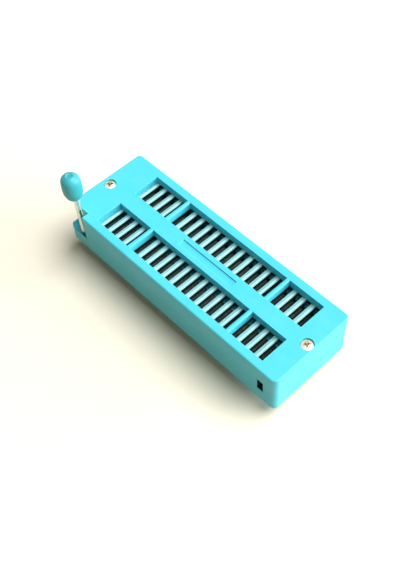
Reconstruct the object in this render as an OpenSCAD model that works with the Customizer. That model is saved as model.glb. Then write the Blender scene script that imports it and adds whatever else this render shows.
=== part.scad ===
// Zero-insertion-force socket for wide and narrow dual-in-line packages.
// X runs along the rows, away from the lever end; Y across them, to the back; Z up from the board.
// The origin is the middle of the pin grid, on the seating face.

/* [Pin grid] */
// Contacts in each of the two rows
pins_per_row = 20; // [12:2:20]
// Distance between neighbouring contacts in a row
pitch = 2.54; // [2.5, 2.54]
// Distance between the two rows of pins
row_gap = 15.24; // [15:0.02:15.5]
// Length of a pin below the seating face
pin_len = 3.3; // [2.5:0.1:4]
// Thickness of a pin, along the row
pin_t = 0.3; // [0.2:0.05:0.4]
// Width of a pin, across the row
pin_w = 0.5; // [0.4:0.05:0.6]

/* [Body] */
// Width of the spine between the two windows
spine_w = 4.15; // [4:0.05:4.4]
// Width of each window, across the rows
window_w = 6.9; // [6.8:0.1:7.2]
// From a window's outer edge to the side of the body
side_w = 2.05; // [2:0.05:2.6]
// Free length of a window beyond its row of slots
window_play = 0.3; // [0.2:0.05:0.6]
// How far the windows' middle lies from the pins' middle
window_shift = -0.35; // [-0.4:0.05:-0.2]
// From the windows to the lever end of the body
lever_margin = 8.4; // [8.4:0.1:9.5]
// From the windows to the far end of the body
far_margin = 5.4; // [5.2:0.1:7]
// Height of the base above the board
base_h = 7.1; // [7.1:0.05:7.4]
// Height of the cover above the base
cover_h = 3.95; // [3.9:0.05:4.5]
// Radius of the upright corners
corner_r = 1.5; // [0.8:0.1:2]
// Rounding of the cover's top edges
edge_r = 0.35; // [0.2:0.05:0.6]
// Thickness of the cover's side walls
wall = 1.15; // [1:0.05:1.2]
// Radius of the corner that the lever stands in
ledge_r = 0.7; // [0.4:0.1:1.2]
// Depth of the channel under the base, round the seating land
land_h = 0.5; // [0.3:0.1:0.6]
// Step of the base's walls behind the cover's
joint_step = 0.06; // [0:0.02:0.1]

/* [Windows] */
// How far the ribs lie below the top face
rib_drop = 2; // [1.8:0.05:2.2]
// Width of the bars that cross the windows
bar_w = 1; // [0.8:0.1:1.2]
// Rounding of the bars' top edges
bar_edge_r = 0.3; // [0.1:0.05:0.35]
// Contacts between a bar and the end of its row
bar_group = 4; // [2:1:5]
// Length of the marking recess on the spine
recess_len = 16.2; // [10:0.2:20]
// Width of the marking recess
recess_w = 1.75; // [1:0.05:2.5]
// Depth of the marking recess
recess_depth = 0.3; // [0.2:0.05:0.5]

/* [Slider] */
// Thickness of the slider plate
slider_t = 1.25; // [1.1:0.05:1.3]
// Width of a slot between two ribs
slot_w = 1.1; // [1:0.05:1.2]
// Bevel along a slot's mouth
slot_bevel = 0.22; // [0.1:0.02:0.3]
// Thickness of the teeth that press the contacts
tooth_t = 0.55; // [0.4:0.05:0.6]
// Running gap above and below the slider
slide_gap = 0.1; // [0.05:0.01:0.12]

/* [Contacts] */
// Thickness of the contact sheet
sheet_t = 0.2; // [0.15:0.01:0.22]
// Gap between the two leaves of an open contact, at its lips
lip_gap = 0.7; // [0.6:0.02:0.8]
// Gap between the leaves at their roots
root_gap = 0.9; // [0.8:0.02:0.92]
// Length of a contact across the row
leaf_len = 5.5; // [5:0.1:5.6]
// Length of the lips' flare beyond their bend
flare_len = 0.4; // [0.2:0.05:0.45]

/* [Lever] */
// Diameter of the lever's wire
wire_d = 1.1; // [1:0.05:1.2]
// Throw of the crank in the wire
crank_throw = 0.4; // [0.3:0.02:0.42]
// Angle of the lifted lever from upright
open_tilt = 3; // [0:0.5:8]
// Angle of the closed lever from upright
closed_tilt = 76; // [70:1:77]
// From the lever's axis to the lever end of the body
axis_inset = 4.2; // [4.2:0.05:4.5]
// Height of the lever's axis above the board
axis_h = 4.4; // [4.3:0.05:4.6]
// Length of the lever from its axis to the knob's top
lever_len = 18.4; // [15:0.1:22]
// Diameter of the knob
knob_d = 4.6; // [4:0.1:5.2]
// Length of the knob
knob_len = 7.2; // [6.5:0.1:9]
// Length of the corner pocket that the lever stands in
pocket_len = 5.5; // [5.4:0.1:6]
// Depth of the corner pocket, from the side of the body
pocket_depth = 1.85; // [1.8:0.05:1.9]

/* [Screws] */
// Diameter of a screw's head
head_d = 2.65; // [2.4:0.05:2.7]
// Diameter of a screw's shank
shank_d = 1.5; // [1.4:0.05:1.5]
// From the lever end to its screw
lever_screw_inset = 2.2; // [2.1:0.05:2.25]
// From the far end to its screw
far_screw_inset = 1.8; // [1.75:0.05:2.2]

/* [Hidden] */
$fn = 48;
eps = 0.01;
cut = 1;                // how far a cutting body reaches past what it cuts
run_gap = 0.05;         // radial clearance of the lever in its bearings
seat_gap = 0.04;        // clearance round a screw's shank and a contact's pin
head_gap = 0.12;        // clearance round a screw's head
base_floor = 1.2;       // top of the base's floor, which the contacts stand on
land_half_w = 5.6;      // half the width of the seating land
rim_w = 1.3;            // width of the rim round the underside
foot_r = 0.25;          // rounding of the base's bottom edges
screw_floor = 2.6;      // bottom of the screw holes

body_w = spine_w + 2 * (window_w + side_w);
body_h = base_h + cover_h;
window_len = pins_per_row * pitch + window_play;
window_x0 = window_shift - window_len / 2;
window_x1 = window_shift + window_len / 2;
x0 = window_x0 - lever_margin;
x1 = window_x1 + far_margin;
window_in = spine_w / 2;
window_out = window_in + window_w;
row_half = (pins_per_row - 1) / 2;
bar_x = (pins_per_row / 2 - bar_group) * pitch;

// Slider
throw_angle = (closed_tilt - open_tilt) / 2;
travel = 2 * crank_throw * sin(throw_angle);
rib_z = body_h - rib_drop;
slider_z = rib_z - slider_t;
guide_z = slider_z - slide_gap / 2;
slider_end_gap = 0.35;
slider_overlap = 0.62;  // how far the slider reaches under the cover beside a window
slider_half_w = window_out + slider_overlap;
chamber_half_w = body_w / 2 - wall;
chamber_x1 = window_x1 + 2;
slider_x1 = chamber_x1 - slider_end_gap - travel;
slider_x0 = window_x0 - 1.1;
slot_len = window_w + 0.14;
slot_mid_y = (window_in + window_out) / 2;

// Contacts
leaf_x = (root_gap + sheet_t) / 2;
lip_x = (lip_gap + sheet_t) / 2;
contact_out = root_gap / 2 + sheet_t;
leaf_in = window_in + 1;
leaf_out = leaf_in + leaf_len;
ear_len = 1.25;         // length of the ears that the slider's teeth press
strap_z = base_floor + sheet_t / 2;
leaf_root = 1.6;        // height of a leaf's upright foot
bend_r = 0.3;
pin_point = 0.4;        // length of a pin's tapered end
lip_r = 0.5;
lip_angle = 60;
lip_rise = lip_r * sin(lip_angle) + flare_len * cos(lip_angle) + sheet_t * sin(lip_angle) / 2;
lip_z = guide_z - 0.12 - lip_rise;
ear_z = 6.4;
cavity_w = 2 * (contact_out + 0.05);
cavity_gap = 0.1;       // from a contact's ends to its cavity
field_z = 6.6;          // top of the walls between the cavities
trench_z = 5;           // floor of the trench that the slider's teeth move in
tooth_z = trench_z + 0.2;
tooth_gap = 0.04;
tooth_face = contact_out + tooth_gap;

// Lever
axis_x = x0 + axis_inset;
pocket_y = -body_w / 2 + pocket_depth;
rod_inset = 0.63;       // from the side of the body to the middle of the rod
rod_y = -body_w / 2 + rod_inset;
elbow_r = pocket_y - rod_y;
joggle_r = 1;           // bends between the journals and the crank
joggle_angle = acos(1 - crank_throw / (2 * joggle_r));
joggle_len = 2 * joggle_r * sin(joggle_angle);
yoke_y0 = 2.5;
yoke_y1 = 4.5;
yoke_t = 0.8;
yoke_half = wire_d / 2 + 0.08;
yoke_z = 0.35;          // how far the yoke reaches down past the crank's middle
crank_half = yoke_y1 + 0.2;
journal_y = crank_half + joggle_len;
chamber_half = journal_y + 0.1;
shaft_end = 8.9;
knob_wall = 1.4;        // plastic of the knob beyond the rod's end
crank_x = axis_x - crank_throw * sin(throw_angle);
crank_z = axis_h - crank_throw * cos(throw_angle);
pit_z = axis_h - crank_throw - wire_d / 2 - 0.3;
pit_x0 = crank_x - yoke_half - yoke_t - 0.15;
pit_x1 = crank_x + yoke_half + yoke_t + travel + 0.2;

// Screws
screw_x = [x0 + lever_screw_inset, x1 - far_screw_inset];
head_h = 0.95;
head_sink = 0.87;       // depth of the seat under a screw's head
head_z = body_h - head_sink;
head_crown_r = 3;
tip_h = 0.8;            // height of a screw's point
boss_x1 = crank_x - wire_d / 2 - 0.16;

plastic = [0.36, 0.9, 0.95];
bronze = [0.62, 0.55, 0.42];
nickel = [0.8, 0.8, 0.78];

function two_digits(i) = str(i < 10 ? "0" : "", i);
contact_count = 2 * pins_per_row;

// ---- Shared forms ----

// A rectangle with round corners
module rounded_rect(xa, xb, ya, yb, r) {
    translate([xa + r, ya]) square([xb - xa - 2 * r, yb - ya]);
    translate([xa, ya + r]) square([xb - xa, yb - ya - 2 * r]);
    for (x = [xa + r, xb - r], y = [ya + r, yb - r])
        translate([x, y]) circle(r);
}

// A block between two corners
module block(low, high) {
    translate(low) cube(high - low);
}

// A block and its mirror image across the XZ plane
module block_pair(low, high) {
    for (side = [0, 1]) mirror([0, side, 0]) block(low, high);
}

// A profile drawn in X and Z, extruded along Y between two values
module along_y(ya, yb) {
    translate([0, yb, 0]) rotate([90, 0, 0]) linear_extrude(yb - ya) children();
}

// A profile drawn in Y and Z, extruded along X between two values
module along_x(xa, xb) {
    translate([xa, 0, 0]) rotate([90, 0, 90]) linear_extrude(xb - xa) children();
}

// A cylinder along Y between two values
module rod(r, ya, yb) {
    translate([0, yb, 0]) rotate([90, 0, 0]) cylinder(r = r, h = yb - ya);
}

// One slot place of each row after the other
module each_slot() {
    for (i = [0 : pins_per_row - 1]) translate([(i - row_half) * pitch, 0, 0]) children();
}

// ---- Corner pocket of the lever ----

// The pocket seen from above, with the large round of the cover's corner beside it
module pocket_plan() {
    round_r = 4;
    translate([x0 - cut, -body_w / 2 - cut]) square([pocket_len + cut, pocket_depth + cut]);
    difference() {
        translate([x0 - cut, pocket_y - eps]) square([cut + round_r, round_r + eps]);
        translate([x0 + round_r, pocket_y + round_r]) circle(round_r);
    }
}

// The pocket in the base: its floor rises to a lip, which the closed lever lies over,
// and drops into a well under the lever's elbow
module base_pocket() {
    floor_z = axis_h - wire_d / 2 - 0.5;
    ledge_z = axis_h + 0.3;
    run = 2.8;
    rise = ledge_z - floor_z;
    ramp_r = (run * run + rise * rise) / (2 * rise);
    well_len = 2.3;
    well_wall = 0.4;
    intersection() {
        translate([0, 0, floor_z]) linear_extrude(body_h) pocket_plan();
        along_y(-body_w, body_w) {
            translate([x0 + run, floor_z]) square([body_h, body_h]);
            translate([x0 + run, floor_z + ramp_r]) circle(ramp_r, $fn = 96);
            translate([x0 - cut, base_h - cut / 2]) square([body_h, body_h]);
        }
    }
    block([x0 + pocket_len - well_len, -body_w / 2 + well_wall, base_floor],
          [x0 + pocket_len, pocket_y, floor_z + eps]);
}

// ---- Base ----

// Outline of the base, with a smaller round at the lever's corner
module base_plan(inset) {
    xa = x0 + inset;
    ya = -body_w / 2 + inset;
    rounded_rect(xa, x1 - inset, ya, -ya, corner_r);
    rounded_rect(xa, xa + 2 * corner_r, ya, ya + 2 * corner_r, ledge_r);
}

module base_solid() {
    rail_x0 = slider_x0 - 0.2;
    rail_x1 = chamber_x1 - 0.15;
    half_w = body_w / 2 - joint_step;
    intersection() {
        linear_extrude(base_h) base_plan(joint_step);
        along_x(x0, x1) rounded_rect(-half_w, half_w, 0, body_h, foot_r);
        along_y(-body_w, body_w) rounded_rect(x0 + joint_step, x1 - joint_step, 0, body_h, foot_r);
    }
    // guide rails and spine that the slider runs on
    block_pair([rail_x0, window_out - 0.05, base_floor], [rail_x1, chamber_half_w - 0.1, guide_z]);
    block([rail_x0, -window_in + 0.1, base_floor], [rail_x1, window_in - 0.1, guide_z]);
}

// The channel under the base: it leaves a rim at the walls and the seating land in the middle
module foot_channel() {
    difference() {
        translate([0, 0, -cut]) linear_extrude(cut + land_h)
            rounded_rect(x0 + rim_w, x1 - rim_w, -body_w / 2 + rim_w, body_w / 2 - rim_w, corner_r / 2);
        block([-row_half * pitch, -land_half_w, -2 * cut], [row_half * pitch, land_half_w, body_h]);
    }
}

// Two fields of cavities, one for each contact, with the teeth's trench across them
module contact_field() {
    y_in = leaf_in - cavity_gap;
    y_out = leaf_out + cavity_gap;
    field_x1 = row_half * pitch + cavity_w;
    field_x0 = -row_half * pitch - tooth_face - travel - tooth_t - 0.2;
    for (side = [0, 1]) mirror([0, side, 0]) {
        block([field_x0, window_in - 0.1, field_z], [field_x1, window_out - 0.05, body_h]);
        block([field_x0, leaf_out - ear_len - cavity_gap, trench_z], [field_x1, y_out, body_h]);
        each_slot() {
            block([-cavity_w / 2, y_in, base_floor], [cavity_w / 2, y_out, body_h]);
            block([-pin_t / 2 - seat_gap, row_gap / 2 - pin_w / 2 - seat_gap, -cut],
                  [pin_t / 2 + seat_gap, row_gap / 2 + pin_w / 2 + seat_gap, base_floor + eps]);
        }
    }
}

// The saddle that a journal of the lever turns in, open to the cover
module saddle(ya, yb) {
    r = wire_d / 2 + run_gap;
    translate([axis_x, 0, axis_h]) rod(r, ya, yb);
    block([axis_x - r, ya, axis_h], [axis_x + r, yb, body_h]);
}

// The pit that the crank and the slider's yoke swing in, round the screw's boss
module crank_pit(z) {
    difference() {
        block([pit_x0, -chamber_half, z], [pit_x1, chamber_half, body_h]);
        block([x0, -yoke_y0 + 0.3, -cut], [boss_x1, yoke_y0 - 0.3, body_h + cut]);
    }
}

// Latch openings in the side walls near the far end
module latch_openings() {
    latch_w = 1.65;
    latch_depth = 1.9;
    latch_x = x1 - 4.9;
    latch_z = 3.6;
    block_pair([latch_x, body_w / 2 - latch_depth, latch_z], [latch_x + latch_w, body_w / 2 + cut, body_h]);
}

module base() {
    color(plastic) difference() {
        base_solid();
        foot_channel();
        contact_field();
        crank_pit(pit_z);
        saddle(-body_w / 2, -chamber_half + eps);
        saddle(chamber_half - eps, shaft_end + 0.15);
        base_pocket();
        latch_openings();
        for (x = screw_x)
            translate([x, 0, screw_floor]) cylinder(r = shank_d / 2 + seat_gap, h = body_h);
    }
}

// ---- Cover ----

module cover_solid() {
    intersection() {
        translate([0, 0, base_h]) linear_extrude(cover_h)
            rounded_rect(x0, x1, -body_w / 2, body_w / 2, corner_r);
        along_x(x0 - cut, x1 + cut) rounded_rect(-body_w / 2, body_w / 2, 0, body_h, edge_r);
        along_y(-body_w, body_w) rounded_rect(x0, x1, 0, body_h, edge_r);
    }
}

// The chamber under the top plate that the slider moves in
module slider_chamber() {
    z_top = rib_z + slide_gap;
    block([pit_x1 - eps, -chamber_half_w, base_h - cut], [chamber_x1, chamber_half_w, z_top]);
    intersection() {
        crank_pit(base_h - cut);
        block([x0, -body_w, 0], [pit_x1, body_w, z_top]);
    }
}

// The two windows, each crossed by two bars with round top edges
module windows() {
    for (side = [0, 1]) mirror([0, side, 0]) difference() {
        block([window_x0, window_in, base_h], [window_x1, window_out, body_h + cut]);
        for (x = [-bar_x, bar_x])
            along_y(0, body_w) rounded_rect(x - bar_w / 2, x + bar_w / 2, 0, body_h, bar_edge_r);
    }
}

// Lugs that reach down into the base's saddles and hold the lever's journals
module saddle_lugs() {
    half = wire_d / 2 - 0.02;
    z_low = axis_h + wire_d / 2 + run_gap;
    for (y = [[pocket_y + 0.05, -chamber_half - 0.1], [chamber_half + 0.1, shaft_end]])
        block([axis_x - half, y[0], z_low], [axis_x + half, y[1], base_h + cut]);
}

module cover() {
    color(plastic) difference() {
        union() {
            difference() {
                cover_solid();
                translate([0, 0, -cut]) linear_extrude(body_h + 2 * cut) pocket_plan();
                slider_chamber();
            }
            saddle_lugs();
        }
        windows();
        block([-recess_len / 2, -recess_w / 2, body_h - recess_depth],
              [recess_len / 2, recess_w / 2, body_h + cut]);
        for (x = screw_x) translate([x, 0, 0]) {
            cylinder(r = shank_d / 2 + 2 * seat_gap, h = body_h);
            translate([0, 0, head_z]) cylinder(r = head_d / 2 + head_gap, h = body_h);
        }
    }
}

// ---- Slider ----

// A slot with a bevelled mouth, seen along the row
module slot_profile() {
    b = slot_bevel;
    polygon([[-slot_w / 2, slider_z - cut], [slot_w / 2, slider_z - cut], [slot_w / 2, rib_z - b],
             [slot_w / 2 + b + eps, rib_z + eps], [-slot_w / 2 - b - eps, rib_z + eps],
             [-slot_w / 2, rib_z - b]]);
}

module slider() {
    yoke_x0 = crank_x - yoke_half - yoke_t;
    yoke_x1 = crank_x + yoke_half + yoke_t;
    yoke_top = slider_z - 0.6;
    color(plastic) difference() {
        union() {
            block([slider_x0, -slider_half_w, slider_z], [slider_x1, slider_half_w, rib_z]);
            // the two arms of the yoke that the crank moves
            block_pair([yoke_x0, yoke_y0, slider_z], [slider_x0 + eps, yoke_y1, rib_z]);
            block_pair([yoke_x0, yoke_y0, crank_z - yoke_z], [yoke_x1, yoke_y1, slider_z + eps]);
            // teeth that press the contacts shut
            for (side = [0, 1]) mirror([0, side, 0]) each_slot()
                block([-tooth_face - travel - tooth_t, leaf_out - ear_len + 0.1, tooth_z],
                      [-tooth_face - travel, leaf_out, slider_z + eps]);
        }
        for (side = [0, 1]) mirror([0, side, 0]) each_slot()
            translate([-travel / 2, slot_mid_y, 0]) along_y(-slot_len / 2, slot_len / 2) slot_profile();
        block([crank_x - yoke_half, -yoke_y1 - cut, 0], [crank_x + yoke_half, yoke_y1 + cut, yoke_top]);
    }
}

// ---- Contacts ----

// Middle line of one leaf, from the strap up to its lip
function arc(cx, cz, r, a, b, n = 5) =
    [for (i = [0 : n]) [cx + r * cos(a + (b - a) * i / n), cz + r * sin(a + (b - a) * i / n)]];
function leaf_line() = let (
    z = strap_z,
    lip = arc(lip_x + lip_r, lip_z, lip_r, 180, 180 - lip_angle),
    tip = lip[len(lip) - 1]
) concat(
    [[0, z]],
    arc(leaf_x - bend_r, z + bend_r, bend_r, -90, 0),
    [[leaf_x, z + leaf_root]],
    lip,
    [tip + flare_len * [sin(lip_angle), cos(lip_angle)]]
);
function ear_line() = concat(
    [[0, strap_z]],
    arc(leaf_x - bend_r, strap_z + bend_r, bend_r, -90, 0),
    [[leaf_x, ear_z]]
);

// Outline of a strip of sheet that follows a middle line
function unit(v) = v / norm(v);
function side_step(p, i) = let (
    a = i > 0 ? unit(p[i] - p[i - 1]) : unit(p[1] - p[0]),
    b = i < len(p) - 1 ? unit(p[i + 1] - p[i]) : a,
    m = unit(a + b)
) [-m[1], m[0]] / (a * m);
module strip(p, t) {
    last = len(p) - 1;
    polygon(concat(
        [for (i = [0 : last]) p[i] + side_step(p, i) * t / 2],
        [for (i = [last : -1 : 0]) p[i] - side_step(p, i) * t / 2]
    ));
}
module both_leaves(p) {
    strip(p, sheet_t);
    mirror([1, 0]) strip(p, sheet_t);
}

// A contact of the back row; a front one is its mirror image
module contact_shape() {
    along_y(leaf_in, leaf_out - ear_len) both_leaves(leaf_line());
    along_y(leaf_out - ear_len - eps, leaf_out) both_leaves(ear_line());
    along_y(row_gap / 2 - pin_w / 2, row_gap / 2 + pin_w / 2)
        polygon([[-pin_t / 2, strap_z], [pin_t / 2, strap_z], [pin_t / 2, pin_point - pin_len],
                 [pin_t / 5, -pin_len], [-pin_t / 5, -pin_len], [-pin_t / 2, pin_point - pin_len]]);
}

// Contacts are counted along the front row from the lever end, then along the back row
module contact(i) {
    front = i <= pins_per_row;
    place = front ? i - 1 : i - 1 - pins_per_row;
    color(bronze) translate([(place - row_half) * pitch, 0, 0])
        mirror([0, front ? 1 : 0, 0]) contact_shape();
}

// ---- Lever ----

// A bend in the wire that leaves the origin along Y and turns down
module wire_bend(bend_r, angle) {
    rotate([0, -90, 0]) translate([-bend_r, 0, 0])
        rotate_extrude(angle = angle) translate([bend_r, 0]) circle(wire_d / 2);
}

// Bent wire: the rod, an elbow, and a shaft with a crank that moves the slider
module lever() {
    r = wire_d / 2;
    color(nickel) translate([axis_x, 0, axis_h]) {
        rotate([0, -open_tilt, 0]) {
            translate([0, rod_y, elbow_r]) cylinder(r = r, h = lever_len - knob_wall - elbow_r - 0.1);
            translate([0, pocket_y, 0]) rotate([180, 0, 0]) wire_bend(elbow_r, 90);
            rod(r, pocket_y, pocket_y + eps);
        }
        rotate([0, throw_angle, 0]) {
            rod(r, pocket_y, -journal_y);
            rod(r, journal_y, shaft_end);
            translate([0, 0, -crank_throw]) rod(r, -crank_half, crank_half);
            for (turn = [0, 180]) rotate([0, 0, turn]) {
                translate([0, -journal_y, 0]) wire_bend(joggle_r, joggle_angle);
                translate([0, -crank_half, -crank_throw]) rotate([180, 0, 0])
                    wire_bend(joggle_r, joggle_angle);
            }
        }
    }
}

// Egg-shaped knob, pressed on the rod, with a small flat on its top
module lever_knob() {
    r = knob_d / 2;
    side_r = 17.5;
    side_z = 4;
    bottom_r = 2.15;
    top_r = 2.7;
    flat_r = 0.9;
    color(plastic) translate([axis_x, 0, axis_h]) rotate([0, -open_tilt, 0])
        translate([0, rod_y, lever_len - knob_len]) difference() {
            rotate_extrude() intersection() {
                square([r, knob_len]);
                translate([r - side_r, side_z]) circle(side_r, $fn = 192);
                union() {
                    translate([0, bottom_r]) circle(bottom_r);
                    translate([0, bottom_r]) square([r, knob_len]);
                }
                union() {
                    translate([0, knob_len - top_r]) circle(top_r, $fn = 64);
                    square([r, knob_len - top_r]);
                }
            }
            translate([0, 0, -cut]) cylinder(r = wire_d / 2 + 0.02, h = knob_len - knob_wall + cut);
            translate([0, 0, knob_len - 0.15]) cylinder(r = flat_r, h = cut);
        }
}

// ---- Screws ----

// Pan-head screw with a cross recess
module screw(x, tip_z) {
    r = head_d / 2;
    cross_w = 0.42;
    cross_l = 1.7;
    cross_depth = 0.55;
    color(nickel) translate([x, 0, 0]) difference() {
        union() {
            translate([0, 0, head_z]) intersection() {
                cylinder(r = r, h = head_h);
                translate([0, 0, head_h - head_crown_r]) sphere(head_crown_r, $fn = 96);
            }
            translate([0, 0, tip_z + tip_h]) cylinder(r = shank_d / 2, h = head_z - tip_z - tip_h + eps);
            translate([0, 0, tip_z]) cylinder(r1 = 0.2, r2 = shank_d / 2, h = tip_h + eps);
        }
        for (a = [45, 135]) translate([0, 0, head_z + head_h - cross_depth]) rotate([0, 0, a])
            translate([-cross_l / 2, -cross_w / 2, 0]) cube([cross_l, cross_w, cut]);
    }
}
module screw_lever_end() screw(screw_x[0], screw_floor + 0.3);
module screw_far_end() screw(screw_x[1], screw_floor + 0.3);

base();
cover();
slider();
lever();
lever_knob();
screw_lever_end();
screw_far_end();
for (i = [1 : contact_count])
    contact(i);
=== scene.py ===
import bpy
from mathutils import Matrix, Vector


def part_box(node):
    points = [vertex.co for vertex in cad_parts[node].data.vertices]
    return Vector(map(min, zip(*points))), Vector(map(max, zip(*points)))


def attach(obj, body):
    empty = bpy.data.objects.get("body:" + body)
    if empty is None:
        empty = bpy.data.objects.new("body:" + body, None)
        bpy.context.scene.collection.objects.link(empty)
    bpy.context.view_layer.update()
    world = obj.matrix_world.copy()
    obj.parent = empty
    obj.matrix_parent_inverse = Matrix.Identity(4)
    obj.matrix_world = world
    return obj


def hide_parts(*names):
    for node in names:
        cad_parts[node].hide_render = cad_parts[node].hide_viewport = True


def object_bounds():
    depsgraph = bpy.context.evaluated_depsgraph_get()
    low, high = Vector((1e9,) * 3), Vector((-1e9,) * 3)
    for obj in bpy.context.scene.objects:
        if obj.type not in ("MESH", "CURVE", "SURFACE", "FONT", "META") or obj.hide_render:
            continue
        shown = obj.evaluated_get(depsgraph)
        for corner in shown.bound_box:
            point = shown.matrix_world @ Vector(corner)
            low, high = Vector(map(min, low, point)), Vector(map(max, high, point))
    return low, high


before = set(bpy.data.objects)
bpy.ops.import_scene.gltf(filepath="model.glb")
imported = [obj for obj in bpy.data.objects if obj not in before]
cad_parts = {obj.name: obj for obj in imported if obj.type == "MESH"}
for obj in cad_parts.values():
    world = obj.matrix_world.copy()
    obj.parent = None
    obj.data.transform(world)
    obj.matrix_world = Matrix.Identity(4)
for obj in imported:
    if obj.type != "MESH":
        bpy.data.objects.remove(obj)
CAD_BOX = [list(corner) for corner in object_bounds()]

from math import cos, exp, log, pi, radians, sqrt

import bmesh
import bpy
from bpy.props import FloatProperty, FloatVectorProperty, PointerProperty
from mathutils import Euler, Matrix, Vector

bl_info = {
    "name": "Zero-insertion-force socket",
    "version": (1, 0, 0),
    "blender": (4, 5, 0),
    "location": "View3D > Sidebar > Socket",
    "description": "Gives the packed socket its plastics, metals and softer mouldings, and a studio",
    "category": "Object",
}

MM = 0.001
CONTACTS = sorted(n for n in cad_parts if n.startswith("contact_"))

# Steps of the knob's profile and of its turn
PROFILE_STEPS = 40
SPIN_STEPS = 96
# The knob's rim is bevelled where its faces turn by more than the first, and
# its shading breaks where they turn by more than the second
RIM_ANGLE = radians(12)
SHARP_ANGLE = radians(40)

# Vertices closer than these are one vertex
SLIDER_MERGE = 2e-7
KNOB_MERGE = 1e-7
# How near a bar's edge its vertices lie
EDGE_REACH = 5e-6

# Directions that the rounded normals are averaged from
BEVEL_SAMPLES = 6
# What a noise comes to on average
NOISE_MIDDLE = 0.5


def colour(name, note, value):
    """A colour setting"""
    return FloatVectorProperty(
        name=name, description=note, default=value, size=3, min=0, max=1, subtype="COLOR"
    )


def share(name, note, value, top=1.0):
    """A setting without a unit"""
    return FloatProperty(name=name, description=note, default=value, min=0, max=top)


def length(name, note, millimetres):
    """A length setting, given here in millimetres"""
    return FloatProperty(
        name=name, description=note, default=millimetres * MM, min=0, precision=5,
        unit="LENGTH", subtype="DISTANCE",
    )


def angle(name, note, degrees):
    """An angle setting, given here in degrees"""
    return FloatProperty(
        name=name, description=note, default=radians(degrees), unit="ROTATION", subtype="ANGLE"
    )


def place(name, note, metres):
    """A point in the frame"""
    return FloatVectorProperty(
        name=name, description=note, default=metres, precision=6, unit="LENGTH", subtype="TRANSLATION"
    )


class SocketPlastics(bpy.types.PropertyGroup):
    """Moulded parts: their colours, gloss and edges"""

    body: colour("Body", "Plastic of the base and the cover", (0.066, 0.63, 0.80))
    slider: colour("Slider", "Plastic of the slotted slider", (0.22, 0.54, 0.57))
    knob: colour("Knob", "Plastic of the lever's knob", (0.034, 0.40, 0.47))
    # Painted shade: the near-black tone deep in the slots stands in for the shade between the bars
    slot: colour("Slot", "Tone of the shaded slots between the bars", (0.012, 0.030, 0.026))
    # Painted highlight: a near-white line along the bars' upper edges, where light catches their rounding
    painted_highlight: colour("Rubbed edge", "Tone of the bars' rubbed upper edges", (0.72, 0.95, 0.95))
    # Painted shade: the dark tone inside the latch openings stands in for the shade in these recesses
    latch_shade: colour("Notch", "Tone inside the latch openings", (0.010, 0.055, 0.065))
    seam: colour("Seam", "Tone of the joint line between base and cover", (0.03, 0.26, 0.32))
    seam_width: length("Seam width", "Half the width of the joint line", 0.03)
    seam_share: share("Seam strength", "How much of its tone the joint line shows", 0.5)
    # The pale tone is both the real flow marks' tone and a painted highlight along the edges
    pale: colour("Pale tone", "Tone that thin edges and flow marks drift to", (0.34, 0.86, 0.90))
    drift: share("Drift", "How far the body's colour drifts to the pale tone", 0.10)
    patch: length("Patch", "Size of the slow patches in the colour", 6.25)
    # Painted highlight: the body is paler along its edges, where light catches them
    edge_sheen: share("Edge paling", "How much paler the body is along its edges", 0.35)
    edge_width: length("Edge width", "Width of the paler edges", 0.22)
    edge_round: length("Edge rounding", "Rounding of the moulded edges", 0.09)
    roughness: share("Roughness", "Roughness of the satin mould surface", 0.42)
    gloss_spread: share("Gloss spread", "How much the roughness varies over a face", 0.16)
    specular: share("Specular level", "Strength of the plastic's reflection", 0.4)
    grain: length("Grain", "Size of the mould's satin grain", 0.09)
    grain_depth: length("Grain depth", "Depth of the satin grain", 0.003)
    grain_share: share("Grain strength", "How much of the grain's depth the light shows", 0.6)


class SocketLatch(bpy.types.PropertyGroup):
    """The box of painted shade inside each latch opening, in the sides near the far end"""

    from_end: length("From the end", "From the cover's far end to the box", 3.2)
    length: length("Length", "Length of the box along the socket", 1.75)
    wall: length("Wall", "From the cover's side face to the box", 0.175)
    depth: length("Depth", "Depth of the box behind the wall", 1.85)
    foot: length("Foot", "Height of the box over the seating face", 3.55)
    height: length("Height", "Height of the box itself", 3.6)


class SocketBars(bpy.types.PropertyGroup):
    """Bars of the slider, between its slots"""

    edge_offset: length("Edge offset", "From a contact's middle to the far edge of the bar before it", 1.008)
    edge_cut: length("Edge cut", "How far each bar's far edge is cut back", 0.45)
    wall_offset: length("Wall offset", "From a contact's middle to the wall of the bar before it", 0.788)
    wall_cut: length("Wall cut", "How far the wall under that edge is cut back", 0.2)
    deck: length("Deck", "Height of the bars under the slider's top", 1.5)
    bevel_height: length("Bevel height", "Height of the bevel along a bar", 0.22)
    # The slots' tone is painted shade, growing from the first depth to the second
    shade_start: share("Shade start", "Depth at which the slots' tone starts, in bevel heights", 0.8, 4)
    shade_end: share("Shade end", "Depth at which the slots' tone is full, in bevel heights", 1.1, 4)
    # A painted highlight along each bar's upper edge, at this depth, width and strength
    highlight_depth: length("Rub depth", "Depth of the rubbed line under the slider's top", 0.045)
    highlight_width: length("Rub width", "Half the width of the rubbed line", 0.02)
    highlight_share: share("Rub strength", "How much of its tone the rubbed line shows", 0.9)
    drift: share("Drift", "How far the slider's colour drifts to the pale tone", 0.25)
    # Painted highlight along the slider's edges
    sheen: share("Edge paling", "How much paler the slider is along its edges", 0.6)


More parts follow.
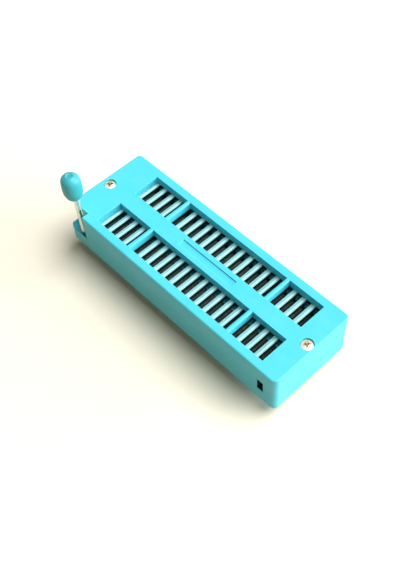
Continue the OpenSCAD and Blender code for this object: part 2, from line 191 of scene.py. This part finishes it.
class SocketKnob(bpy.types.PropertyGroup):
    """Shape, place and finish of the lever's knob"""

    length: length("Length", "Length of the knob along the lever", 7.2)
    width: length("Width", "Widest diameter of the knob", 4.6)
    belly: length("Belly height", "Height of the widest ring over the knob's foot", 4.0)
    side_radius: length("Side radius", "Radius of the knob's side in profile", 17.5)
    foot_radius: length("Foot radius", "Radius of the rounded foot", 2.15)
    crown_radius: length("Crown radius", "Radius of the crown", 2.7)
    blend: length("Blend", "How softly crown, side and foot run into one another", 0.16)
    disc_radius: length("Disc radius", "Radius of the plain disc on the crown", 0.9)
    disc_rim: length("Disc rim", "Width of the raised rim round the disc", 0.2)
    disc_depth: length("Disc depth", "Depth of the disc inside its rim", 0.12)
    disc_lean: length("Disc lean", "How far the disc's wall leans inwards", 0.06)
    rim_bevel: length("Rim bevel", "Bevel along both edges of the rim", 0.05)
    reach: length("Reach", "From the lever's axis to the top of the knob", 18.4)
    tilt: angle("Tilt", "How far the upright lever leans", 3)
    axis: place("Axis", "A point on the lever's axis", (-0.0301, 0.0, 0.0044))
    drift: share("Drift", "How far the knob's colour drifts to the pale tone", 0.05)
    # Painted highlight along the knob's edges and its disc's rim
    sheen: share("Edge paling", "How much paler the knob is along its edges", 0.5)


class SocketMetals(bpy.types.PropertyGroup):
    """Metal parts: their colours and gloss"""

    wire: colour("Lever wire", "Nickel plating of the lever", (0.66, 0.68, 0.58))
    screw: colour("Screws", "Nickel plating of the screws", (0.76, 0.76, 0.63))
    # Painted shade: the contacts' near-black colour stands in for the shade deep in the slots, not a dulled
    # bronze
    contact: colour("Contacts", "Spring bronze of the contacts, dulled in the slots", (0.012, 0.016, 0.014))
    tail: colour("Tails", "Tin on the contacts' solder tails", (0.62, 0.61, 0.58))
    tin_start: length("Tin start", "Depth under the seating face at which the tin starts", 0.3)
    tin_full: length("Tin full", "Depth under the seating face at which the tin is full", 0.8)
    # A brown tone round each screw's axis, over its recess
    centre_tone: colour("Oil", "Brown oil left in the screws' recesses", (0.36, 0.24, 0.10))
    centre_tone_radius: length("Oil radius", "How far the oil reaches from a screw's axis", 0.7)
    stain: colour("Stain", "Colour of the dull spots in the plating", (0.32, 0.25, 0.16))
    wire_stain: share("Wire stain", "How dull the lever's spots are", 0.3)
    screw_stain: share("Screw stain", "How dull the screws' spots are", 0.5)
    contact_stain: share("Contact stain", "How dull the contacts' spots are", 0.08)
    wire_roughness: share("Wire roughness", "Roughness of the lever's plating", 0.24)
    screw_roughness: share("Screw roughness", "Roughness of the screws' plating", 0.30)
    contact_roughness: share("Contact roughness", "Roughness of the contact sheet", 0.5)
    gloss_spread: share("Gloss spread", "How much the roughness varies over a face", 0.22)
    streaks: share("Streaks", "Drawn streaks in a metre of wire or sheet", 2500, 10000)
    screw_streaks: share("Screw streaks", "Drawn streaks in a metre of the screws", 1800, 10000)
    pit_depth: length("Pit depth", "Depth of the fine pits in the plating", 0.005)
    pit_share: share("Pit strength", "How much of the pits' depth the light shows", 0.25)


class SocketStudio(bpy.types.PropertyGroup):
    """Floor, light and camera"""

    floor: colour("Floor", "Colour of the floor", (0.95, 0.905, 0.775))
    bounce: colour("Floor bounce", "Colour that the floor sends back to the socket", (0.56, 0.52, 0.42))
    floor_reach: length("Floor reach", "From the middle of the floor to its edge", 1500)
    floor_gap: length("Floor gap", "Gap between the lowest tail and the floor", 0.02)
    floor_patches: share("Floor patches", "Darker patches in a metre of floor", 40, 1000)
    floor_dark: share("Floor dark", "Share of the floor's colour left in its darker patches", 0.985)
    floor_roughness: share("Floor roughness", "Roughness of the floor's paper", 0.9)
    floor_specular: share("Floor specular", "Strength of the floor's reflection", 0.1)
    sky: colour("Soft light", "Colour of the light from all round", (1.0, 0.84, 0.54))
    sky_level: share("Soft light level", "Strength of the light from all round", 0.15, 4)
    key_level: share("Key level", "Strength of the key light on a face turned to it", 1.15, 4)
    key_towards: FloatVectorProperty(
        name="Key direction", description="From the socket to the key light", default=(0.36, 0.36, 1.0)
    )
    side_level: share("Side level", "Strength of the side light on a face turned to it", 1.6, 4)
    side_towards: FloatVectorProperty(
        name="Side direction", description="From the socket to the side light", default=(0.78, 0.60, 0.07)
    )
    light_angle: angle("Light angle", "Width of the lights seen from the socket", 45)
    camera_place: place("Camera place", "Where the camera stands", (0.086158, -0.073729, 0.160690))
    camera_turn: FloatVectorProperty(
        name="Camera turn", description="How the camera is turned", unit="ROTATION", subtype="EULER",
        default=(radians(35.64315), radians(2.68341), radians(46.62611)),
    )
    lens: share("Lens", "Focal length in millimetres", 55.82, 1000)
    sensor: share("Sensor", "Width of the camera's sensor in millimetres", 36, 1000)
    clip_start: length("Clip start", "The nearest that the camera sees", 5)
    clip_end: length("Clip end", "The farthest that the camera sees", 10000)


# ---- Node building ----


def feed(tree, socket, value):
    """Give a node's input another node's output, or a plain value"""
    if isinstance(value, bpy.types.NodeSocket):
        tree.links.new(value, socket)
    else:
        socket.default_value = value


def add_node(tree, kind, links=None, **settings):
    """A node with its settings; links maps its input names to values or to other nodes' outputs"""
    node = tree.nodes.new(kind)
    for key, value in settings.items():
        setattr(node, key, value)
    for key, value in (links or {}).items():
        feed(tree, node.inputs[key], value)
    return node


def new_group(name, inputs, outputs):
    """An empty shader node group with named sockets, its input node and its output node"""
    tree = bpy.data.node_groups.new(name, "ShaderNodeTree")
    kinds = {"float": "NodeSocketFloat", "colour": "NodeSocketColor", "vector": "NodeSocketVector"}
    for direction, sockets in (("INPUT", inputs), ("OUTPUT", outputs)):
        for label, kind in sockets.items():
            tree.interface.new_socket(name=label, in_out=direction, socket_type=kinds[kind])
    return tree, tree.nodes.new("NodeGroupInput"), tree.nodes.new("NodeGroupOutput")


def math_node(tree, operation, first, second=0.0, clamp=False):
    """The result of one sum"""
    links = {0: first, 1: second}
    return add_node(tree, "ShaderNodeMath", links, operation=operation, use_clamp=clamp).outputs[0]


def times(tree, first, second, clamp=False):
    """One value times another"""
    return math_node(tree, "MULTIPLY", first, second, clamp)


def remap(tree, value, low, high, to_low=0.0, to_high=1.0):
    """A value moved from one range to another"""
    links = {"Value": value, "From Min": low, "From Max": high, "To Min": to_low, "To Max": to_high}
    return add_node(tree, "ShaderNodeMapRange", links).outputs["Result"]


def blend_colours(tree, factor, first, second):
    """A mix of two colours"""
    node = add_node(tree, "ShaderNodeMix", data_type="RGBA")
    # A Mix node's inputs and output for colours have these places in its lists
    for index, value in ((0, factor), (6, first), (7, second)):
        feed(tree, node.inputs[index], value)
    return node.outputs[2]


def noise(tree, vector, scale, detail=3.0, roughness=0.55):
    """Noise at a number of patches per metre"""
    links = {"Vector": vector, "Scale": scale, "Detail": detail, "Roughness": roughness}
    return add_node(tree, "ShaderNodeTexNoise", links).outputs["Fac"]


def stretched(tree, vector, scale):
    """A vector that draws a pattern out along one way"""
    return add_node(tree, "ShaderNodeMapping", {"Vector": vector, "Scale": scale}).outputs[0]


def rounded_normal(tree, radius):
    """A normal that rounds the sharp edges over"""
    return add_node(tree, "ShaderNodeBevel", {"Radius": radius}, samples=BEVEL_SAMPLES).outputs[0]


def make_flow_group():
    """Moulded colour: slow patches and flow marks drawn out along the body"""
    tree, given, out = new_group(
        "Moulded colour",
        {"Vector": "vector", "Colour": "colour", "Tone": "colour", "Amount": "float", "Patches": "float"},
        {"Colour": "colour"},
    )
    along_body, finer = (0.25, 1.0, 1.0), 4.0
    patch_share, flow_share = 0.6, 0.4
    plain, marked = 0.35, 0.65
    vector, scale = given.outputs["Vector"], given.outputs["Patches"]
    patches = times(tree, noise(tree, vector, scale), patch_share)
    marks = noise(tree, stretched(tree, vector, along_body), times(tree, scale, finer), detail=5.0)
    both = math_node(tree, "ADD", patches, times(tree, marks, flow_share))
    drift = times(tree, remap(tree, both, plain, marked), given.outputs["Amount"], clamp=True)
    toned = blend_colours(tree, drift, given.outputs["Colour"], given.outputs["Tone"])
    tree.links.new(toned, out.inputs["Colour"])
    return tree


def make_satin_group():
    """Satin surface: fine grain of the mould over broad sink waves, and a gloss that varies a little"""
    tree, given, out = new_group(
        "Satin surface",
        {"Vector": "vector", "Grains": "float", "Depth": "float", "Roughness": "float", "Spread": "float"},
        {"Height": "float", "Roughness": "float"},
    )
    wave_scale, wave_height = 0.03, 3.0
    gloss_scale = 0.06
    vector, scale = given.outputs["Vector"], given.outputs["Grains"]
    fine = noise(tree, vector, scale, detail=2.0)
    waves = noise(tree, vector, times(tree, scale, wave_scale), detail=1.0)
    height = math_node(tree, "ADD", fine, times(tree, waves, wave_height))
    tree.links.new(times(tree, height, given.outputs["Depth"]), out.inputs["Height"])
    patches = noise(tree, vector, times(tree, scale, gloss_scale), detail=4.0)
    offset = times(tree, math_node(tree, "SUBTRACT", patches, NOISE_MIDDLE), given.outputs["Spread"])
    gloss = math_node(tree, "ADD", given.outputs["Roughness"], offset, clamp=True)
    tree.links.new(gloss, out.inputs["Roughness"])
    return tree


def make_edge_group():
    """Edge mask: one along the edges, where a rounded normal leaves the flat one"""
    tree, given, out = new_group("Edge mask", {"Width": "float"}, {"Mask": "float"})
    alike, apart = 0.995, 0.80
    rounded = rounded_normal(tree, given.outputs["Width"])
    flat = add_node(tree, "ShaderNodeNewGeometry").outputs["Normal"]
    likeness = add_node(tree, "ShaderNodeVectorMath", {0: rounded, 1: flat}, operation="DOT_PRODUCT")
    tree.links.new(remap(tree, likeness.outputs["Value"], alike, apart), out.inputs["Mask"])
    return tree


def make_plating_group():
    """Plated metal: drawn streaks, dull spots and fine pits"""
    tree, given, out = new_group(
        "Plated metal",
        {"Vector": "vector", "Colour": "colour", "Stain": "colour", "Amount": "float", "Streaks": "float",
         "Roughness": "float", "Spread": "float"},
        {"Colour": "colour", "Roughness": "float", "Height": "float"},
    )
    upright, spot_scale = (1.0, 1.0, 0.06), 0.35
    bright, dull = 0.50, 0.72
    vector, scale = given.outputs["Vector"], given.outputs["Streaks"]
    streaks = noise(tree, stretched(tree, vector, upright), scale, detail=4.0)
    spots = noise(tree, vector, times(tree, scale, spot_scale), detail=5.0, roughness=0.65)
    stained = times(tree, remap(tree, spots, bright, dull), given.outputs["Amount"], clamp=True)
    toned = blend_colours(tree, stained, given.outputs["Colour"], given.outputs["Stain"])
    tree.links.new(toned, out.inputs["Colour"])
    uneven = math_node(tree, "ADD", math_node(tree, "SUBTRACT", streaks, NOISE_MIDDLE), stained)
    offset = times(tree, uneven, given.outputs["Spread"])
    gloss = math_node(tree, "ADD", given.outputs["Roughness"], offset, clamp=True)
    tree.links.new(gloss, out.inputs["Roughness"])
    tree.links.new(streaks, out.inputs["Height"])
    return tree


def effect(tree, name, maker, links):
    """One of the shared node groups, built the first time that it is asked for"""
    group = bpy.data.node_groups.get(name) or maker()
    return add_node(tree, "ShaderNodeGroup", links, node_tree=group)


def new_material(name, centre=(0, 0, 0)):
    """A material with a Principled shader and a pattern vector centred on a piece"""
    material = bpy.data.materials.new(name)
    material.use_nodes = True
    tree = material.node_tree
    shader = tree.nodes["Principled BSDF"]
    own = add_node(tree, "ShaderNodeTexCoord").outputs["Object"]
    links = {"Vector": own, "Location": [-c for c in centre]}
    vector = add_node(tree, "ShaderNodeMapping", links, vector_type="POINT").outputs[0]
    return material, tree, shader, vector


def rgba(value):
    """A colour with full alpha"""
    return (*value, 1.0)


def add_layers(tree, vector, toned, layers):
    """A colour under layers, each of them a tone and a function that builds its mask"""
    for tone, mask in layers:
        toned = blend_colours(tree, mask(tree, vector), toned, rgba(tone))
    return toned


def plastic_material(name, tint, finish, drift, sheen, layers=()):
    """Satin moulded plastic"""
    material, tree, shader, vector = new_material(name)
    base = effect(tree, "Moulded colour", make_flow_group, {
        "Vector": vector, "Colour": rgba(tint), "Tone": rgba(finish.pale),
        "Amount": drift, "Patches": 1 / finish.patch,
    })
    edge = effect(tree, "Edge mask", make_edge_group, {"Width": finish.edge_width})
    # Painted highlight: the colour turns paler along the edges
    paler = times(tree, edge.outputs["Mask"], sheen)
    toned = blend_colours(tree, paler, base.outputs["Colour"], rgba(finish.pale))
    satin = effect(tree, "Satin surface", make_satin_group, {
        "Vector": vector, "Grains": 1 / finish.grain, "Depth": finish.grain_depth,
        "Roughness": finish.roughness, "Spread": finish.gloss_spread,
    })
    bump = add_node(tree, "ShaderNodeBump", {
        "Height": satin.outputs["Height"], "Strength": finish.grain_share, "Distance": 1.0,
        "Normal": rounded_normal(tree, finish.edge_round),
    })
    feed(tree, shader.inputs["Base Color"], add_layers(tree, vector, toned, layers))
    feed(tree, shader.inputs["Roughness"], satin.outputs["Roughness"])
    feed(tree, shader.inputs["Normal"], bump.outputs["Normal"])
    shader.inputs["Specular IOR Level"].default_value = finish.specular
    return material


def height_mask(start, end):
    """A mask that grows from nothing at one height to full at another"""
    def build(tree, vector):
        upright = add_node(tree, "ShaderNodeSeparateXYZ", {"Vector": vector}).outputs["Z"]
        return remap(tree, upright, start, end)
    return build


def line_mask(height, half_width, strength):
    """A mask along a level line, which fades out at twice the line's width"""
    def build(tree, vector):
        upright = add_node(tree, "ShaderNodeSeparateXYZ", {"Vector": vector}).outputs["Z"]
        away = math_node(tree, "ABSOLUTE", math_node(tree, "SUBTRACT", upright, height))
        return remap(tree, away, half_width, half_width * 2, strength, 0.0)
    return build


def box_mask(low, high):
    """A mask that is full inside a box, on both sides of the socket"""
    def build(tree, vector):
        point = add_node(tree, "ShaderNodeSeparateXYZ", {"Vector": vector})
        across = math_node(tree, "ABSOLUTE", point.outputs["Y"])
        mask = 1.0
        for value, start, end in zip((point.outputs["X"], across, point.outputs["Z"]), low, high):
            mask = times(tree, mask, math_node(tree, "GREATER_THAN", value, start))
            mask = times(tree, mask, math_node(tree, "LESS_THAN", value, end))
        return mask
    return build


def axis_mask(radius):
    """A mask that is full near the piece's own upright axis, and fades out at a radius from it"""
    def build(tree, vector):
        level = add_node(tree, "ShaderNodeVectorMath", {0: vector, 1: (1.0, 1.0, 0.0)}, operation="MULTIPLY")
        away = add_node(tree, "ShaderNodeVectorMath", {0: level.outputs[0]}, operation="LENGTH")
        return remap(tree, away.outputs["Value"], radius, radius * 0.5)
    return build


def metal_material(name, tint, finish, roughness, stain, streaks, centre=(0, 0, 0), layers=()):
    """Plated metal"""
    material, tree, shader, vector = new_material(name, centre)
    plating = effect(tree, "Plated metal", make_plating_group, {
        "Vector": vector, "Colour": rgba(tint), "Stain": rgba(finish.stain), "Amount": stain,
        "Streaks": streaks, "Roughness": roughness, "Spread": finish.gloss_spread,
    })
    bump = add_node(tree, "ShaderNodeBump", {
        "Height": plating.outputs["Height"], "Strength": finish.pit_share, "Distance": finish.pit_depth,
    })
    feed(tree, shader.inputs["Base Color"], add_layers(tree, vector, plating.outputs["Colour"], layers))
    feed(tree, shader.inputs["Roughness"], plating.outputs["Roughness"])
    feed(tree, shader.inputs["Normal"], bump.outputs["Normal"])
    shader.inputs["Metallic"].default_value = 1.0
    return material


def dress(piece, material):
    """A piece with one material"""
    piece.data.materials.clear()
    piece.data.materials.append(material)


# ---- Pieces ----


def place_piece(bm, name, body, source):
    """A finished mesh as a piece that rides on a body and stands for a solid"""
    mesh = bpy.data.meshes.new(name)
    bm.to_mesh(mesh)
    bm.free()
    piece = bpy.data.objects.new(name, mesh)
    bpy.context.scene.collection.objects.link(piece)
    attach(piece, body)
    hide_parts(source)
    return piece


class SOCKET_OT_body(bpy.types.Operator):
    """Give the base and the cover their plastic, the joint line, and painted shade inside the latch openings
    """

    bl_idname = "socket.body"
    bl_label = "Base and cover"

    def execute(self, context):
        finish = context.scene.socket_plastics
        seam = line_mask(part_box("cover")[0].z, finish.seam_width, finish.seam_share)
        layers = [(finish.seam, seam), (finish.latch_shade, self.latch_shade_mask(context.scene.socket_latch))]
        plastic = plastic_material(
            "Body plastic", finish.body, finish, finish.drift, finish.edge_sheen, layers
        )
        for source in ("base", "cover"):
            dress(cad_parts[source], plastic)
        return {"FINISHED"}

    def latch_shade_mask(self, latch):
        """A mask of painted shade inside the latch openings, placed from the cover's far corner"""
        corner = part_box("cover")[1]
        far = corner.x - latch.from_end
        outer = corner.y - latch.wall
        low = (far - latch.length, outer - latch.depth, latch.foot)
        return box_mask(low, (far, outer, latch.foot + latch.height))


class SOCKET_OT_slider(bpy.types.Operator):
    """Cut the broad bevel along the slider's bars and give the slider its paler plastic, with painted shade
    in its slots and a painted highlight along its bars' upper edges
    """

    bl_idname = "socket.slider"
    bl_label = "Slider"

    def execute(self, context):
        finish = context.scene.socket_plastics
        bars = context.scene.socket_bars
        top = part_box("slider")[1].z
        # Painted highlight along the bars' rounded upper edges
        painted_highlight = line_mask(top - bars.highlight_depth, bars.highlight_width, bars.highlight_share)
        # Painted shade down in the slots, below the bars' bevel
        shaded = height_mask(
            top - bars.shade_start * bars.bevel_height, top - bars.shade_end * bars.bevel_height
        )
        layers = [(finish.painted_highlight, painted_highlight), (finish.slot, shaded)]
        plastic = plastic_material(
            "Slider plastic", finish.slider, finish, bars.drift, bars.sheen, layers
        )
        dress(self.make_slider(bars, top), plastic)
        return {"FINISHED"}

    def make_slider(self, bars, top):
        """The slider with the broad bevel that each bar has towards the far end"""
        bm = bmesh.new()
        bm.from_mesh(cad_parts["slider"].data)
        bmesh.ops.remove_doubles(bm, verts=bm.verts, dist=SLIDER_MERGE)
        middles = {round(sum(corner.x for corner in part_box(name)) / 2, 6) for name in CONTACTS}
        for offset, cut in ((bars.edge_offset, bars.edge_cut), (bars.wall_offset, bars.wall_cut)):
            edges = [middle - offset for middle in middles]
            moved = [
                v for v in bm.verts
                if v.co.z > top - bars.deck and any(abs(v.co.x - x) < EDGE_REACH for x in edges)
            ]
            if not moved:
                raise RuntimeError("no bar edge was found on the slider")
            bmesh.ops.translate(bm, vec=(-cut, 0, 0), verts=moved)
        return place_piece(bm, "slider_moulded", "slider", "slider")


class SOCKET_OT_contacts(bpy.types.Operator):
    """Give all contacts their bronze, painted near black as the shade deep in the slots, and tinned tails"""

    bl_idname = "socket.contacts"
    bl_label = "Contacts"

    def execute(self, context):
        finish = context.scene.socket_metals
        tinned = height_mask(-finish.tin_start, -finish.tin_full)
        # Bronze painted near black as the slots' shade
        bronze = metal_material(
            "Contact bronze", finish.contact, finish, finish.contact_roughness, finish.contact_stain,
            finish.streaks, layers=[(finish.tail, tinned)],
        )
        for name in CONTACTS:
            dress(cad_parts[name], bronze)
        return {"FINISHED"}


class SOCKET_OT_lever(bpy.types.Operator):
    """Give the lever's wire its nickel, and spin the knob and give it its plastic"""

    bl_idname = "socket.lever"
    bl_label = "Lever and knob"

    def execute(self, context):
        metals = context.scene.socket_metals
        plastics = context.scene.socket_plastics
        shape = context.scene.socket_knob
        nickel = metal_material(
            "Lever nickel", metals.wire, metals, metals.wire_roughness, metals.wire_stain, metals.streaks
        )
        dress(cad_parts["lever"], nickel)
        plastic = plastic_material("Knob plastic", plastics.knob, plastics, shape.drift, shape.sheen)
        dress(self.make_knob(shape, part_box("lever_knob")), plastic)
        return {"FINISHED"}

    def side_radius(self, knob, height):
        """Radius of the knob's side at a height over its foot"""
        crown = knob.length - knob.crown_radius
        bow = sqrt(knob.side_radius ** 2 - (height - knob.belly) ** 2)
        limits = [knob.width / 2 - knob.side_radius + bow]
        if height < knob.foot_radius:
            limits.append(sqrt(max(0, knob.foot_radius ** 2 - (height - knob.foot_radius) ** 2)))
        if height > crown:
            limits.append(sqrt(max(0, knob.crown_radius ** 2 - (height - crown) ** 2)))
        return -knob.blend * log(sum(exp(-limit / knob.blend) for limit in limits))

    def knob_profile(self, knob, top):
        """Half the knob in section, from the middle of its foot to the middle of its disc"""
        # The steps are closest together at the foot and the crown, and those at the very ends are left out
        heights = [top * (1 - cos(pi * i / PROFILE_STEPS)) / 2 for i in range(2, PROFILE_STEPS - 1)]
        side = [(self.side_radius(knob, height), height) for height in heights]
        inside = knob.disc_radius - knob.disc_rim
        floor = top - knob.disc_depth
        disc = [(knob.disc_radius, top), (inside, top), (inside - knob.disc_lean, floor), (0, floor)]
        return [(0, heights[0]), *side, *disc]

    def make_knob(self, knob, box):
        """A knob spun from one soft profile, with a rimmed disc on its crown"""
        top = knob.length - knob.crown_radius + sqrt(knob.crown_radius ** 2 - knob.disc_radius ** 2)
        bm = bmesh.new()
        verts = [bm.verts.new((radius, 0, height)) for radius, height in self.knob_profile(knob, top)]
        edges = [bm.edges.new(pair) for pair in zip(verts, verts[1:])]
        bmesh.ops.spin(
            bm, geom=verts + edges, cent=(0, 0, 0), axis=(0, 0, 1), angle=2 * pi, steps=SPIN_STEPS,
            use_merge=True,
        )
        bmesh.ops.remove_doubles(bm, verts=bm.verts, dist=KNOB_MERGE)
        bmesh.ops.recalc_face_normals(bm, faces=bm.faces)
        rim = [
            edge for edge in bm.edges
            if all(abs(v.co.z - top) < KNOB_MERGE for v in edge.verts)
            and len(edge.link_faces) == 2 and edge.calc_face_angle(0) > RIM_ANGLE
        ]
        bmesh.ops.bevel(
            bm, geom=rim, offset=knob.rim_bevel, offset_type="OFFSET", segments=2, profile=0.5,
            affect="EDGES", clamp_overlap=True, material=-1,
        )
        middle = (box[0].y + box[1].y) / 2
        along = Matrix.Translation((0, middle, knob.reach - knob.length))
        seat = Matrix.Translation(knob.axis) @ Matrix.Rotation(-knob.tilt, 4, "Y") @ along
        bmesh.ops.transform(bm, matrix=seat, verts=bm.verts)
        for face in bm.faces:
            face.smooth = True
        piece = place_piece(bm, "knob_spun", "lever", "lever_knob")
        piece.data.set_sharp_from_angle(angle=SHARP_ANGLE)
        return piece


class SOCKET_OT_screws(bpy.types.Operator):
    """Give each screw its nickel, browner round its axis"""

    bl_idname = "socket.screws"
    bl_label = "Screws"

    def execute(self, context):
        finish = context.scene.socket_metals
        centre_toned = [(finish.centre_tone, axis_mask(finish.centre_tone_radius))]
        for name in ("screw_lever_end", "screw_far_end"):
            low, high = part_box(name)
            nickel = metal_material(
                f"Nickel {name}", finish.screw, finish, finish.screw_roughness, finish.screw_stain,
                finish.screw_streaks, (low + high) / 2, centre_toned,
            )
            dress(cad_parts[name], nickel)
        return {"FINISHED"}


def seen_rays(tree):
    """One for the rays that come from the camera or off a shiny face, and nought for the rest"""
    ray = add_node(tree, "ShaderNodeLightPath")
    return math_node(tree, "MAXIMUM", ray.outputs["Is Camera Ray"], ray.outputs["Is Glossy Ray"])


class SOCKET_OT_stage(bpy.types.Operator):
    """Set the floor, the soft light, the two lamps and the camera"""

    bl_idname = "socket.stage"
    bl_label = "Studio"

    def execute(self, context):
        studio = context.scene.socket_studio
        self.make_floor(context, studio, CAD_BOX[0][2] - studio.floor_gap)
        self.make_sky(context, studio)
        self.make_lamp(context, studio, "key", studio.key_level, studio.key_towards)
        self.make_lamp(context, studio, "side", studio.side_level, studio.side_towards)
        self.make_camera(context, studio)
        context.scene.view_settings.view_transform = "Standard"
        return {"FINISHED"}

    def make_floor(self, context, studio, height):
        """A wide pale floor under the tails"""
        bm = bmesh.new()
        bmesh.ops.create_grid(bm, x_segments=8, y_segments=8, size=studio.floor_reach)
        bmesh.ops.translate(bm, vec=(0, 0, height), verts=bm.verts)
        mesh = bpy.data.meshes.new("floor")
        bm.to_mesh(mesh)
        bm.free()
        floor = bpy.data.objects.new("floor", mesh)
        context.scene.collection.objects.link(floor)
        dress(floor, self.floor_material(studio))

    def floor_material(self, studio):
        """Pale paper, which sends less light back to the socket than it shows"""
        material, tree, shader, vector = new_material("Floor paper")
        patches = noise(tree, vector, studio.floor_patches, detail=4.0)
        darker = [c * studio.floor_dark for c in studio.floor]
        paper = blend_colours(tree, patches, rgba(studio.floor), rgba(darker))
        shown = blend_colours(tree, seen_rays(tree), rgba(studio.bounce), paper)
        feed(tree, shader.inputs["Base Color"], shown)
        shader.inputs["Roughness"].default_value = studio.floor_roughness
        shader.inputs["Specular IOR Level"].default_value = studio.floor_specular
        return material

    def make_sky(self, context, studio):
        """Warm light from all round, seen as plain white"""
        world = bpy.data.worlds.new("Soft light")
        context.scene.world = world
        world.use_nodes = True
        tree = world.node_tree
        tree.nodes.clear()
        links = {"Color": rgba(studio.sky), "Strength": studio.sky_level}
        soft = add_node(tree, "ShaderNodeBackground", links)
        white = add_node(tree, "ShaderNodeBackground", {"Color": rgba((1, 1, 1)), "Strength": 1.0})
        links = {0: seen_rays(tree), 1: soft.outputs[0], 2: white.outputs[0]}
        mix = add_node(tree, "ShaderNodeMixShader", links)
        add_node(tree, "ShaderNodeOutputWorld", {"Surface": mix.outputs[0]})

    def make_lamp(self, context, studio, name, level, towards):
        """A broad even lamp, whose level is what a white face turned to it sends back"""
        lamp = bpy.data.lights.new(name, "SUN")
        lamp.angle = studio.light_angle
        lamp.energy = level * pi
        piece = bpy.data.objects.new(name, lamp)
        piece.rotation_euler = Vector(towards).to_track_quat("Z", "Y").to_euler()
        context.scene.collection.objects.link(piece)

    def make_camera(self, context, studio):
        """The camera, without depth of field"""
        data = bpy.data.cameras.new("camera")
        data.sensor_width = studio.sensor
        data.lens = studio.lens
        data.clip_start = studio.clip_start
        data.clip_end = studio.clip_end
        camera = bpy.data.objects.new("camera", data)
        camera.location = studio.camera_place
        camera.rotation_euler = Euler(studio.camera_turn)
        context.scene.collection.objects.link(camera)
        context.scene.camera = camera


STEPS = (
    SOCKET_OT_body, SOCKET_OT_slider, SOCKET_OT_contacts, SOCKET_OT_lever, SOCKET_OT_screws,
    SOCKET_OT_stage,
)
SETTINGS = {
    "socket_plastics": SocketPlastics,
    "socket_latch": SocketLatch,
    "socket_bars": SocketBars,
    "socket_knob": SocketKnob,
    "socket_metals": SocketMetals,
    "socket_studio": SocketStudio,
}


class VIEW3D_PT_socket(bpy.types.Panel):
    """The socket's settings and steps"""

    bl_idname = "VIEW3D_PT_socket"
    bl_label = "Socket"
    bl_space_type = "VIEW_3D"
    bl_region_type = "UI"
    bl_category = "Socket"

    def draw(self, context):
        for name, group in SETTINGS.items():
            box = self.layout.box()
            for key in group.__annotations__:
                box.prop(getattr(context.scene, name), key)
        for step in STEPS:
            self.layout.operator(step.bl_idname)


CLASSES = (*SETTINGS.values(), *STEPS, VIEW3D_PT_socket)


def register():
    for each in CLASSES:
        bpy.utils.register_class(each)
    for name, group in SETTINGS.items():
        setattr(bpy.types.Scene, name, PointerProperty(type=group))


def unregister():
    for name in SETTINGS:
        delattr(bpy.types.Scene, name)
    for each in reversed(CLASSES):
        bpy.utils.unregister_class(each)


def main():
    register()
    for step in STEPS:
        name = step.bl_idname.removeprefix("socket.")
        getattr(bpy.ops.socket, name)()


if __name__ == "__main__":
    main()
